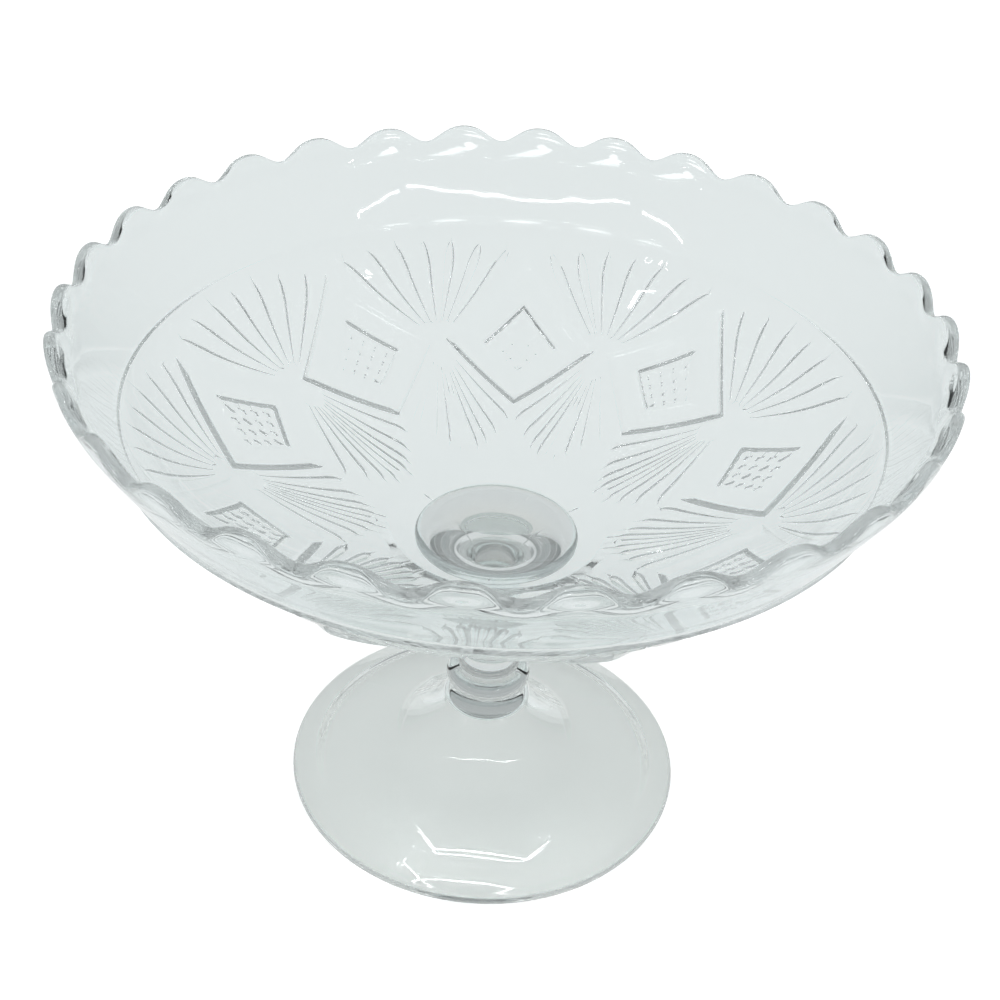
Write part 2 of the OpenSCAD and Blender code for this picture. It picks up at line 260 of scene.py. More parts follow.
# Outside of the bowl below the band: slope and height at a radius
FLOOR_ARC = (SHOULDER_RADIUS - SEAT_RADIUS) / (sin(SHOULDER_SLOPE) - sin(SEAT_SLOPE))
SHOULDER_ARC = (CREASE_RADIUS - SHOULDER_RADIUS) / (sin(CREASE_SLOPE) - sin(SHOULDER_SLOPE))
CENTRE_ARC = SEAT_RADIUS / sin(SEAT_SLOPE)
LIP_ARC = LIP_HEIGHT / (cos(BAND_SLOPE) - cos(LIP_SLOPE))
SHOULDER_Z = SEAT_Z + FLOOR_ARC * (cos(SEAT_SLOPE) - cos(SHOULDER_SLOPE))
CREASE_Z = SHOULDER_Z + SHOULDER_ARC * (cos(SHOULDER_SLOPE) - cos(CREASE_SLOPE))
LIP_RADIUS = RIM_RADIUS - LIP_ARC * (sin(LIP_SLOPE) - sin(BAND_SLOPE))
LIP_Z = CREASE_Z + (LIP_RADIUS - CREASE_RADIUS) * tan(BAND_SLOPE)


def slope_at(r):
    if r < SEAT_RADIUS:
        return asin(r / CENTRE_ARC)
    if r < SHOULDER_RADIUS:
        return asin(sin(SEAT_SLOPE) + (r - SEAT_RADIUS) / FLOOR_ARC)
    return asin(min(sin(SHOULDER_SLOPE) + (r - SHOULDER_RADIUS) / SHOULDER_ARC, sin(CREASE_SLOPE)))


def height_at(r):
    if r < SEAT_RADIUS:
        return SEAT_Z - CENTRE_ARC * (cos(slope_at(r)) - cos(SEAT_SLOPE))
    if r < SHOULDER_RADIUS:
        return SEAT_Z + FLOOR_ARC * (cos(SEAT_SLOPE) - cos(slope_at(r)))
    return SHOULDER_Z + SHOULDER_ARC * (cos(SHOULDER_SLOPE) - cos(slope_at(r)))


def outside(r):
    """Point (radius, height, slope) of the outside at a radius."""
    return r, height_at(r), slope_at(r)


def inset(point, depth):
    """The point moved into the glass, square to the surface."""
    r, z, s = point
    return r - depth * sin(s), z + depth * cos(s), s


def lip_point(h):
    s = acos(cos(BAND_SLOPE) - h / LIP_ARC)
    return LIP_RADIUS + LIP_ARC * (sin(s) - sin(BAND_SLOPE)), LIP_Z + h, s


def edge_drop(angle):
    """How far the edge lies under the level of the scallops' tips."""
    turn = (angle + pi / 2) * SCALLOPS
    wave = cos(turn) + SCALLOP_FULLNESS * (1 - cos(2 * turn)) / 2
    return SCALLOP_HEIGHT * (1 - wave) / 2


def bead(angle, h):
    """How much the glass swells inward in the middle of a scallop."""
    turn = ((angle + pi / 2) * SCALLOPS + pi) % (2 * pi) - pi
    across = turn / SCALLOPS * RIM_RADIUS
    up = h - (LIP_HEIGHT - BEAD_DROP)
    fade = min(1, (EDGE_HEIGHT - edge_drop(angle) - h) / 2)
    return BEAD_HEIGHT * fade * np.exp(-(across / BEAD_WIDTH) ** 2 - (up / BEAD_RISE) ** 2)


def on_seam(angle):
    """Whether an angle round the axis lies on a seam of the mould."""
    return any(abs((angle - radians(seam) + pi) % (2 * pi) - pi) < 1e-4 for seam in SEAMS)


class Shell:
    """Points, in millimetres, and faces of one closed mesh, built ring by ring."""

    def __init__(self):
        self.points = []
        self.faces = []
        self.kinds = []

    def add(self, points):
        start = len(self.points)
        self.points.extend(points)
        return list(range(start, len(self.points)))

    def face(self, corners, kind=PLAIN):
        self.faces.append(corners)
        self.kinds.append(kind)

    def ring(self, columns, place):
        """A ring of points (radius, height) given by a function of the angle."""
        points = []
        for k in range(columns):
            a = 2 * pi * k / columns
            r, z = place(a)[:2]
            points.append((r * cos(a), r * sin(a), z))
        return self.add(points)

    def join(self, a, b):
        """Faces between two rings, the second with as many points or half as many."""
        n, m = len(a), len(b)
        for k in range(m):
            j = (k + 1) % m
            if n == m:
                self.face((a[k], a[j], b[j], b[k]))
                continue
            left, middle, right = a[2 * k], a[2 * k + 1], a[(2 * k + 2) % n]
            self.face((left, middle, b[k]))
            self.face((middle, b[j], b[k]))
            self.face((middle, right, b[j]))

    def close(self, ring, z, kind=PLAIN):
        """Faces from a ring to a point on the axis."""
        middle = self.add([(0.0, 0.0, z)])[0]
        for k in range(len(ring)):
            self.face((ring[k], ring[(k + 1) % len(ring)], middle), kind)

    def build(self, name, node, materials):
        mesh = bpy.data.meshes.new(name)
        points = np.array(self.points) * MM
        mesh.from_pydata(points.tolist(), [], self.faces)
        mesh.polygons.foreach_set("material_index", self.kinds)
        grid = bmesh.new()
        grid.from_mesh(mesh)
        bmesh.ops.remove_doubles(grid, verts=grid.verts, dist=MESH_WELD)
        bmesh.ops.recalc_face_normals(grid, faces=grid.faces)
        grid.to_mesh(mesh)
        grid.free()
        mesh.shade_smooth()
        mesh.set_sharp_from_angle(angle=SHARP_ANGLE)
        for material in materials:
            mesh.materials.append(material)
        piece = bpy.data.objects.new(name, mesh)
        scene.collection.objects.link(piece)
        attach(piece, "root")
        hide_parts(node)


# Relief of the pattern. One half of a fan and one half of a diamond fill twenty
# degrees; y points outward along the fan's axis.
HALF = pi / DIAMONDS


def plan(r, a):
    return np.array((r * sin(a), r * cos(a)))


SIDE_ANGLE = HALF - asin(DIAMOND_GAP / 2 / DIAMOND_SIDE)
CORNERS = [plan(DIAMOND_FOOT, HALF), plan(DIAMOND_SIDE, HALF - SIDE_ANGLE), plan(DIAMOND_TOP, HALF)]
JUNCTION = plan(DIAMOND_SIDE, 0)
AXIS = plan(1, HALF)


def diamond_sides():
    """Start, direction and inward direction of the two sides of the half diamond."""
    found = []
    for start, end in zip(CORNERS, CORNERS[1:]):
        along = (end - start) / np.linalg.norm(end - start)
        found.append((start, along, np.array((along[1], -along[0]))))
    return found


SIDES = diamond_sides()


def edge_distances(points):
    """Distance of each point inside the two sides of the half diamond."""
    return np.minimum(*((points - start) @ inward for start, _, inward in SIDES))


def offset_line(distance):
    """The half diamond's outline, moved inward by a distance, as three corners."""
    def meet(p, u, q, v):
        t = np.linalg.solve(np.array((u, -v)).T, q - p)[0]
        return p + u * t

    lower, upper = [(start + inward * distance, along) for start, along, inward in SIDES]
    middle = np.zeros(2), AXIS
    return [meet(*lower, *middle), meet(*lower, *upper), meet(*upper, *middle)]


def rays():
    """Start, tip, greatest half width, depth and place of both, for each ray."""
    found = []
    for i in range(OUTER_SIDE_RAYS + 1):
        tip = plan(OUTER_TIP - OUTER_TIP_DROP * (i / OUTER_SIDE_RAYS) ** 2, i * OUTER_RAY_STEP)
        start = JUNCTION + (tip - JUNCTION) * OUTER_RAY_START
        found.append((start, tip, OUTER_RAY_WIDTH / 2, OUTER_RAY_DEPTH, OUTER_RAY_PEAK))
    for i in range(INNER_SIDE_RAYS + 1):
        tip = plan(INNER_TIP + INNER_TIP_RISE * (i / INNER_SIDE_RAYS) ** 2, i * INNER_RAY_STEP)
        start = JUNCTION + (tip - JUNCTION) * INNER_RAY_START
        found.append((start, tip, INNER_RAY_WIDTH / 2, INNER_RAY_DEPTH, INNER_RAY_PEAK))
    return found


RAYS = rays()


def swell(t, peak):
    """Width and depth of a ray along its length, as a share of the greatest."""
    rise = np.clip(t / peak, 0, 1) ** RAY_POWER
    fall = np.sqrt(np.clip(1 - ((t - peak) / (1 - peak)) ** 2, 0, 1))
    return np.where(t < peak, rise, fall)


def ramp(x):
    return np.clip(x, 0, 1)


def rounded(x):
    """A rise from zero to one that is steep at first and ends level."""
    return 1 - (1 - ramp(x)) ** BEVEL_POWER


def relief(points):
    """Height of the pattern over the plain outside, at points of a half sector."""
    inside = edge_distances(points)
    radius = np.linalg.norm(points, axis=1)
    fade = ramp((CREASE_RADIUS - radius) / CREASE_FADE) * ramp((radius - PATTERN_INNER) / SEAT_FADE)
    height = -GROUND_DROP + (FRAME_LIFT + GROUND_DROP) * rounded(inside / BEVEL_WIDTH)
    for start, tip, half, depth, peak in RAYS:
        along = tip - start
        length = np.linalg.norm(along)
        along = along / length
        t = (points - start) @ along / length
        across = np.abs((points - start) @ np.array((-along[1], along[0])))
        share = swell(np.clip(t, 0, 1), peak) * (t > 0) * (t < 1)
        cut = depth * share * ramp(1 - (across / np.maximum(half * share, 1e-6)) ** 2)
        height = np.where(inside < 0, np.minimum(height, -GROUND_DROP - cut), height)
    field = inside - FRAME_WIDTH
    sunk = FRAME_LIFT - (FRAME_LIFT + FIELD_DROP) * (1 - rounded(1 - field / FIELD_BEVEL_WIDTH))
    sunk = sunk + HOBNAIL_HEIGHT * hobnail(points)
    height = np.where(field > 0, sunk, height)
    return height * fade


FIELD = offset_line(FRAME_WIDTH + FIELD_BEVEL_WIDTH)
FAR_SIDE = 2 * AXIS * (FIELD[1] @ AXIS) - FIELD[1]


def field_shares(points):
    """Where points lie in the middle field, as two shares along its sides."""
    foot, side, top = FIELD
    u = side - foot
    v = FAR_SIDE - foot
    w = foot + top - side - FAR_SIDE
    found = []
    for p in points:
        a, b = 0.5, 0.5
        for _ in range(8):
            gap = foot + u * a + v * b + w * a * b - p
            step = np.linalg.solve(np.array((u + w * b, v + w * a)).T, gap)
            a, b = a - step[0], b - step[1]
        found.append((a, b))
    return np.array(found)


def hobnail(points):
    """Small pyramids in rows, one at their tops and zero between them."""
    near = edge_distances(points) > FRAME_WIDTH + FIELD_BEVEL_WIDTH
    height = np.zeros(len(points))
    if near.any():
        shares = field_shares(points[near])
        cell = np.abs((shares * HOBNAILS) % 1 - 0.5) * 2
        height[near] = 1 - cell.max(axis=1)
    return height


def field_place(a, b):
    """Place in the middle field, from two shares along its sides."""
    foot, side, top = FIELD
    return foot * (1 - a) * (1 - b) + side * a * (1 - b) + top * a * b + FAR_SIDE * (1 - a) * b


class Plan:
    """Points and lines of the pattern in plan, for one half sector."""

    def __init__(self):
        self.points = []
        self.lines = []

    def line(self, corners, step):
        """A broken line through the corners, with points at most a step apart."""
        path = []
        for start, end in zip(corners, corners[1:]):
            count = max(1, int(np.ceil(np.linalg.norm(end - start) / step)))
            path += [start + (end - start) * k / count for k in range(count)]
        path.append(corners[-1])
        self.path(path)

    def path(self, path):
        first = len(self.points)
        self.points += path
        self.lines += [(first + k, first + k + 1) for k in range(len(path) - 1)]


def draw_border(drawing):
    """The two straight sides of the half sector and the two arcs between them."""
    step = 2 * pi / RIM_COLUMNS
    count = round(HALF / step)
    outer = [plan(CREASE_RADIUS, k * step) for k in range(count + 1)]
    inner = [plan(PATTERN_INNER, 2 * k * step) for k in range(count // 2 + 1)]
    drawing.path(outer)
    drawing.path(inner)
    for angle in (0, HALF):
        radii = np.linspace(PATTERN_INNER, CREASE_RADIUS, SIDE_POINTS)
        drawing.path([plan(r, angle) for r in radii])


def draw_diamond(drawing):
    """Lines along the outline of the diamond and along the edge of its field."""
    for distance in [-FRAME_MARGIN, 0.0] + [BEVEL_WIDTH * share for share in BEVEL_SHARES]:
        drawing.line(offset_line(distance), FRAME_STEP)
    for distance in [-FIELD_MARGIN] + [FIELD_BEVEL_WIDTH * share for share in FIELD_BEVEL_SHARES]:
        drawing.line(offset_line(FRAME_WIDTH + distance), FIELD_STEP)


def draw_hobnails(drawing):
    """Lines along the feet and over the tops of the hobnails."""
    count = 2 * HOBNAILS
    for k in range(1, count):
        for j in range(count):
            for a, b in (((k, j), (k, j + 1)), ((j, k), (j + 1, k))):
                start = field_place(a[0] / count, a[1] / count)
                end = field_place(b[0] / count, b[1] / count)
                drawing.line([start, (start + end) / 2, end], HOBNAIL_STEP)


def draw_rays(drawing):
    """Lines along the rays; only half of a middle ray lies in the half sector."""
    for start, tip, half, _, peak in RAYS:
        along = (tip - start) / np.linalg.norm(tip - start)
        across = np.array((along[1], -along[0]))
        near_tip = 1 - (1 - peak) * np.array(RAY_TIP_SHARES)
        stations = np.concatenate((np.linspace(0.1, peak, RAY_STATIONS), near_tip))
        middle = abs(start[0]) < 1e-6
        for share in RAY_SHARES:
            if middle and share < 0:
                continue
            width = half * swell(stations, peak) * share
            path = [start + (tip - start) * t + across * w for t, w in zip(stations, width)]
            drawing.path(path)


def fill(drawing):
    """Points on a lattice wherever nothing is drawn nearby."""
    cell = FILL_SPACING * FILL_REACH
    row = FILL_SPACING * FILL_ROW
    taken = set()
    for p in drawing.points:
        taken.add((int(p[0] / cell), int(p[1] / cell)))
    for j in range(1, int(CREASE_RADIUS / row) + 1):
        for i in range(-1, int(CREASE_RADIUS * sin(HALF) / FILL_SPACING) + 2):
            p = np.array(((i + 0.5 * (j % 2)) * FILL_SPACING, j * FILL_SPACING * FILL_ROW))
            r, a = np.linalg.norm(p), atan2(p[0], p[1])
            if not PATTERN_INNER + RIM_MARGIN < r < CREASE_RADIUS - RIM_MARGIN:
                continue
            if not SIDE_MARGIN / r < a < HALF - SIDE_MARGIN / r:
                continue
            x, y = int(p[0] / cell), int(p[1] / cell)
            if any((x + u, y + v) in taken for u in (-1, 0, 1) for v in (-1, 0, 1)):
                continue
            drawing.points.append(p)


def half_sector():
    """Plan points and triangles of one half sector."""
    drawing = Plan()
    draw_border(drawing)
    draw_diamond(drawing)
    draw_hobnails(drawing)
    draw_rays(drawing)
    fill(drawing)
    coords = [Vector(p) for p in drawing.points]
    verts, _, faces, *_ = delaunay_2d_cdt(coords, drawing.lines, [], 0, PLAN_WELD)
    points = np.array([(v.x, v.y) for v in verts])
    kept = []
    for face in faces:
        middle = points[list(face)].mean(axis=0)
        r, a = hypot(*middle), atan2(middle[0], middle[1])
        if PATTERN_INNER * 1.0001 < r < CREASE_RADIUS and 0 <= a <= HALF:
            kept.append(tuple(face))
    return points, kept


def over_outside(point, lift):
    """A place in plan lifted on to the outside of the bowl."""
    r = hypot(*point)
    q, z, _ = inset(outside(r), -lift)
    return q * point[0] / r, q * point[1] / r, z


def add_pattern(shell):
    """The relief of a half sector, mirrored and turned all round the bowl."""
    points, faces = half_sector()
    lifts = relief(points)
    lifted = [over_outside(p, h) for p, h in zip(points, lifts)]
    for k in range(DIAMONDS):
        turn = 2 * HALF * k - pi
        for mirror in (1, -1):
            placed = [
                (mirror * x * cos(turn) - y * sin(turn), mirror * x * sin(turn) + y * cos(turn), z)
                for x, y, z in lifted]
            names = shell.add(placed)
            for face in faces:
                shell.face([names[c] for c in face])


def outer_rings(shell):
    """Rings from the pattern's edge over its step, and up the band and the lip."""
    crease = outside(CREASE_RADIUS)
    rings = [shell.ring(RIM_COLUMNS, lambda a: crease)]
    foot = (
        CREASE_RADIUS + CREASE_STEP_WIDTH * cos(BAND_SLOPE),
        CREASE_Z + CREASE_STEP_WIDTH * sin(BAND_SLOPE),
        BAND_SLOPE)
    start = lip_point(0)
    for share in STEP_SHARES:
        p = [crease[i] + (foot[i] - crease[i]) * share for i in (0, 1)] + [BAND_SLOPE]
        q = inset(p, CREASE_STEP * share)
        rings.append(shell.ring(RIM_COLUMNS, lambda a, q=q: q))
    q = inset(foot, CREASE_STEP)
    for share in np.linspace(0.02, 1, BAND_RINGS)[:-1]:
        p = [q[i] + (start[i] - q[i]) * share for i in (0, 1)]
        rings.append(shell.ring(RIM_COLUMNS, lambda a, p=p: p))
    for share in np.linspace(0, 1, LIP_RINGS):
        def place(a, share=share):
            h = (EDGE_HEIGHT - edge_drop(a)) * share
            return lip_point(h)
        rings.append(shell.ring(RIM_COLUMNS, place))
    return rings


def edge_rings(shell):
    """Rings round the fire-polished edge, from the outside to the inside."""
    rings = []
    for turn in np.linspace(0, pi, EDGE_RINGS)[1:-1]:
        def place(a, turn=turn):
            p = lip_point(EDGE_HEIGHT - edge_drop(a))
            half = EDGE_WALL / 2
            c = inset(p, half)
            way = turn + p[2] - pi / 2
            return c[0] + half * cos(way), c[1] + half * sin(way)
        rings.append(shell.ring(RIM_COLUMNS, place))
    return rings


def inner_rings(shell):
    """Rings down the inside, from the edge to the middle of the floor."""
    rings = []
    for share in np.linspace(1, 0, INNER_LIP_RINGS):
        def place(a, share=share):
            h = (EDGE_HEIGHT - edge_drop(a)) * share
            return inset(lip_point(h), WALL + (EDGE_WALL - WALL) * share + bead(a, h))
        rings.append(shell.ring(RIM_COLUMNS, place))
    crease = (CREASE_RADIUS, CREASE_Z, (BAND_SLOPE + CREASE_SLOPE) / 2)
    high = inset(lip_point(0), WALL)
    low = inset(crease, WALL)
    for share in INNER_BAND_SHARES:
        p = [high[i] + (low[i] - high[i]) * share for i in (0, 1)]
        columns = RIM_COLUMNS if share == INNER_BAND_SHARES[0] else INNER_COLUMNS
        rings.append(shell.ring(columns, lambda a, p=p: p))
    count = round(CREASE_RADIUS / RING_STEP)
    for r in np.linspace(CREASE_RADIUS, 0, count)[:-1]:
        q = inset(outside(r), WALL)
        if q[0] > MIDDLE_RADIUS:
            rings.append(shell.ring(INNER_COLUMNS, lambda a, q=q: q))
    return rings


def seat_rings(shell):
    """Rings of the plain floor between the pattern and the seat, with the seams."""
    rings = []
    for r in np.linspace(PATTERN_INNER, SEAT_RADIUS, SEAT_RINGS):
        lift = SEAM_LIFT * max(0, min(1, (SEAM_REACH - r) / SEAM_FADE))
        rings.append(shell.ring(INNER_COLUMNS, lambda a, r=r, h=lift: inset(outside(r), -h * on_seam(a))))
    return rings


def bowl(materials):
    shell = Shell()
    add_pattern(shell)
    wall = outer_rings(shell) + edge_rings(shell) + inner_rings(shell)
    for a, b in zip(wall, wall[1:]):
        shell.join(a, b)
    shell.close(wall[-1], height_at(0) + WALL)
    under = seat_rings(shell)
    under.append(shell.ring(INNER_COLUMNS, lambda a: (SEAT_RADIUS - FLARE_LIP / 2, SEAT_Z)))
    for a, b in zip(under, under[1:]):
        shell.join(a, b)
    shell.close(under[-1], SEAT_Z, FUSED)
    shell.build("pressed_bowl", "bowl", materials)


# Turned pieces
def arc(middle, radius, start, end, count):
    """Points (radius, height) along an arc, from one angle to another."""
    angles = np.linspace(start, end, count)
    return [(middle[0] + radius * cos(a), middle[1] + radius * sin(a)) for a in angles]


def softened(outline, step, passes):
    """The outline with even points and rounded corners, its ends in place."""
    path = np.array(outline, float)
    lengths = np.concatenate(([0], np.cumsum(np.linalg.norm(np.diff(path, axis=0), axis=1))))
    even = np.linspace(0, lengths[-1], int(lengths[-1] / step) + 1)
    path = np.array([np.interp(even, lengths, path[:, i]) for i in (0, 1)]).T
    for _ in range(passes):
        path[1:-1] = (path[:-2] + 2 * path[1:-1] + path[2:]) / 4
    return path


def turned_angles(count):
    """Angles round the axis, with three close together at each seam."""
    angles = [2 * pi * k / count for k in range(count)]
    for seam in SEAMS:
        middle = radians(seam) % (2 * pi)
        angles = [a for a in angles if abs(a - middle) > SEAM_CLEAR]
        angles += [middle - SEAM_SIDE, middle, middle + SEAM_SIDE]
    return sorted(angles)


def turned(name, node, outline, materials, top_fused, foot_fused, seam=0.0, columns=TURNED_COLUMNS):
    """A solid of revolution from its outline, top first, and the radii of its
    fused ends, where zero is an end that isn't fused."""
    shell = Shell()
    angles = turned_angles(columns)
    path = [tuple(p) for p in outline]
    if top_fused:
        path.insert(0, (top_fused, outline[0][1]))
    if foot_fused:
        path.append((foot_fused, outline[-1][1]))
    rings = []
    for number, (r, z) in enumerate(path):
        lift = seam if 2 <= number <= len(path) - 3 else 0
        points = []
        for a in angles:
            out = r + lift * on_seam(a)
            points.append((out * cos(a), out * sin(a), z))
        rings.append(shell.add(points))
    for a, b in zip(rings, rings[1:]):
        shell.join(a, b)
    shell.close(rings[0], path[0][1], FUSED if top_fused else PLAIN)
    shell.close(rings[-1], path[-1][1], FUSED if foot_fused else PLAIN)
    shell.build(name, node, materials)


def stem(materials):
    lip = FLARE_LIP / 2
    flare_radius = SEAT_RADIUS - lip
    run = flare_radius - WAIST_RADIUS
    rise = SEAT_Z - STEM_FOOT - FLARE_LIP - WAIST_HEIGHT
    flare_arc = (run * run + rise * rise) / run / 2
    waist = STEM_FOOT + WAIST_HEIGHT
    reach = atan2(rise, flare_arc - run)
    ring = RING_HEIGHT / 2
    outline = arc((flare_radius, SEAT_Z - lip), lip, pi / 2, -pi / 2, 12)
    outline += arc((WAIST_RADIUS + flare_arc, waist), flare_arc, pi - reach, pi, 60)
    outline += [(WAIST_RADIUS, STEM_FOOT + RING_HEIGHT)]
    outline += arc((RING_RADIUS - ring, STEM_FOOT + ring), ring, pi / 2, -pi / 2, 16)
    outline = softened(outline, 0.3, 5)
    foot_fused = RING_RADIUS - ring - HAIR
    turned("pressed_stem", "stem", outline, materials, flare_radius - HAIR, foot_fused, TURNED_SEAM_LIFT)


def joining_wafer(materials):
    half = (STEM_FOOT - FOOT_TOP) / 2
    flat = WAFER_RADIUS - half
    outline = arc((flat, FOOT_TOP + half), half, pi / 2, -pi / 2, 40)
    outline = [(flat - WAFER_EDGE, STEM_FOOT)] + outline
    top_fused = RING_RADIUS - RING_HEIGHT / 2 - HAIR
    turned("glass_wafer", "joining_wafer", outline, materials, top_fused, flat - WAFER_EDGE - HAIR)


def arc_middle(a, b, radius):
    """Middle of the arc of a radius from a to b that bulges to the right of it."""
    half = (np.array(b) - np.array(a)) / 2
    d = np.linalg.norm(half)
    return np.array(a) + half + np.array((-half[1], half[0])) / d * sqrt(radius ** 2 - d ** 2)


def foot(materials):
    edge = FOOT_EDGE / 2
    disc = FOOT_RADIUS - edge
    crown = arc_middle((disc, FOOT_EDGE), (DOME_RADIUS, DOME_BASE), DISC_CROWN)
    flank = arc_middle((NECK_RADIUS, FOOT_TOP), (DOME_RADIUS, DOME_BASE), DOME_FLANK)

    def crown_z(r, wall):
        return crown[1] + sqrt((DISC_CROWN - wall) ** 2 - (r - crown[0]) ** 2)

    def flank_z(r, wall):
        gap = (DOME_FLANK + wall) ** 2 - (flank[0] - r) ** 2
        return flank[1] - sqrt(gap) if gap > 0 else FOOT_TOP

    top = [(r, max(crown_z(r, 0), flank_z(r, 0)) if r < DOME_RADIUS else crown_z(r, 0))
           for r in np.linspace(NECK_RADIUS, disc, 300)]
    top[0] = (NECK_RADIUS, FOOT_TOP)
    rest = FOOT_RADIUS - REST_WIDTH
    under = [(r, max(crown_z(r, FOOT_WALL), min(flank_z(r, FOOT_WALL), HOLLOW_HEIGHT)))
             for r in np.linspace(rest - REST_SLOPE_RUN, 0.6, 400)]
    outline = top + arc((disc, edge), edge, pi / 2, -pi / 2, 16)[1:] + [(rest, 0)] + under
    outline = softened(outline, 0.4, 9)
    top_fused = WAFER_RADIUS - (STEM_FOOT - FOOT_TOP) / 2 - WAFER_EDGE - HAIR
    turned("pressed_foot", "foot", outline, materials, top_fused, 0, TURNED_SEAM_LIFT, FOOT_COLUMNS)


# Materials
def glass_material():
    """Clear soda glass with a pale green-grey cast, gently uneven from the mould."""
    material = bpy.data.materials.new("clear pressed glass")
    material.use_nodes = True
    tree = material.node_tree
    nodes, links = tree.nodes, tree.links
    glass = nodes["Principled BSDF"]
    glass.inputs["Base Color"].default_value = (0.917, 0.957, 0.957, 1)
    glass.inputs["Transmission Weight"].default_value = 1
    glass.inputs["IOR"].default_value = 1.51
    glass.inputs["Roughness"].default_value = 0.015
    place = nodes.new("ShaderNodeTexCoord")
    ripple = nodes.new("ShaderNodeTexNoise")
    ripple.inputs["Scale"].default_value = 40
    ripple.inputs["Detail"].default_value = 2
    links.new(place.outputs["Object"], ripple.inputs["Vector"])
    bump = nodes.new("ShaderNodeBump")
    bump.inputs["Strength"].default_value = 0.08
    bump.inputs["Distance"].default_value = 0.0006
    links.new(ripple.outputs["Fac"], bump.inputs["Height"])
    links.new(bump.outputs["Normal"], glass.inputs["Normal"])
    lit_through = nodes.new("ShaderNodeBsdfTransparent")
    lit_through.inputs["Color"].default_value = (0.86, 0.87, 0.87, 1)
    path = nodes.new("ShaderNodeLightPath")
    mix = nodes.new("ShaderNodeMixShader")
    links.new(path.outputs["Is Shadow Ray"], mix.inputs["Fac"])
    links.new(glass.outputs["BSDF"], mix.inputs[1])
    links.new(lit_through.outputs["BSDF"], mix.inputs[2])
    links.new(mix.outputs["Shader"], nodes["Material Output"].inputs["Surface"])
    return material


def fused_material(name, depth_tint_and_shade):
    """Where two pieces are fused there is no surface between them, only a grey
    see-through sheet: partly the tint of the glass's depth and partly painted shade,
    which darkens what is seen through the joint, such as the stem under the bowl.
    """
    material = bpy.data.materials.new(name)
    material.use_nodes = True
    nodes, links = material.node_tree.nodes, material.node_tree.links
    nodes.remove(nodes["Principled BSDF"])
    clear = nodes.new("ShaderNodeBsdfTransparent")
    clear.inputs["Color"].default_value = (depth_tint_and_shade, depth_tint_and_shade, depth_tint_and_shade, 1)
    links.new(clear.outputs["BSDF"], nodes["Material Output"].inputs["Surface"])
    return material


def floor_material():
    """Pale table with a soft shadow: white to the eye. Through the glass it glows pale
    near the foot, with a faint warm painted shade under it, and fades with painted
    shade to grey far from it."""
    material = bpy.data.materials.new("pale table")
    material.use_nodes = True
    nodes, links = material.node_tree.nodes, material.node_tree.links
    lit = nodes["Principled BSDF"]
    lit.inputs["Base Color"].default_value = (0.9, 0.9, 0.9, 1)
    lit.inputs["Roughness"].default_value = 0.9
    lit.inputs["Specular IOR Level"].default_value = 0
    place = nodes.new("ShaderNodeTexCoord")
    away = nodes.new("ShaderNodeVectorMath")
    away.operation = "LENGTH"
    reach = nodes.new("ShaderNodeMapRange")
    reach.inputs["From Max"].default_value = FLOOR_REACH
    tones = nodes.new("ShaderNodeValToRGB")
    tones.color_ramp.interpolation = "EASE"
    # Painted shade: seen through the glass, the table is faintly darker and warmer within about 6 cm of
    # the axis, white from 10 cm to 56 cm, and darkens to grey by 1.3 m
    tones.color_ramp.elements[0].color = (1, 0.985, 0.965, 1)
    tones.color_ramp.elements[1].position = 0.65
    tones.color_ramp.elements[1].color = (0.36, 0.38, 0.38, 1)
    tones.color_ramp.elements.new(0.028).color = (1, 0.985, 0.965, 1)
    for position in (0.05, 0.28):
        tones.color_ramp.elements.new(position).color = (1, 1, 1, 1)
    links.new(place.outputs["Object"], away.inputs[0])
    links.new(away.outputs["Value"], reach.inputs["Value"])
    links.new(reach.outputs["Result"], tones.inputs["Fac"])
    # The glow and the diffuse colour that the glass sees both carry this painted shade
    through = nodes.new("ShaderNodeEmission")
    through.inputs["Strength"].default_value = 0.31
    links.new(tones.outputs["Color"], through.inputs["Color"])
    shaded = nodes.new("ShaderNodeBsdfDiffuse")
    links.new(tones.outputs["Color"], shaded.inputs["Color"])
    inside = nodes.new("ShaderNodeAddShader")
    links.new(shaded.outputs["BSDF"], inside.inputs[0])
    links.new(through.outputs["Emission"], inside.inputs[1])
    white = nodes.new("ShaderNodeEmission")
    white.inputs["Color"].default_value = (1, 1, 1, 1)
    white.inputs["Strength"].default_value = 0.68
    plain = nodes.new("ShaderNodeAddShader")
    links.new(lit.outputs["BSDF"], plain.inputs[0])
    links.new(white.outputs["Emission"], plain.inputs[1])
    path = nodes.new("ShaderNodeLightPath")
    bent = nodes.new("ShaderNodeMath")
    bent.operation = "MAXIMUM"
    links.new(path.outputs["Is Glossy Ray"], bent.inputs[0])
    links.new(path.outputs["Is Transmission Ray"], bent.inputs[1])
    glassy = nodes.new("ShaderNodeMixShader")
    links.new(bent.outputs["Value"], glassy.inputs["Fac"])
    links.new(lit.outputs["BSDF"], glassy.inputs[1])
    links.new(inside.outputs["Shader"], glassy.inputs[2])
    mix = nodes.new("ShaderNodeMixShader")
    links.new(path.outputs["Is Camera Ray"], mix.inputs["Fac"])
    links.new(glassy.outputs["Shader"], mix.inputs[1])
    links.new(plain.outputs["Shader"], mix.inputs[2])
    links.new(mix.outputs["Shader"], nodes["Material Output"].inputs["Surface"])
    return material


# Stage
def floor():
    mesh = bpy.data.meshes.new("floor")
    grid = bmesh.new()
    bmesh.ops.create_circle(grid, cap_ends=True, radius=FLOOR_RADIUS, segments=96)
    grid.to_mesh(mesh)
    grid.free()
    mesh.materials.append(floor_material())
    piece = bpy.data.objects.new("floor", mesh)
    piece.location.z = -FLOOR_GAP * MM
    scene.collection.objects.link(piece)


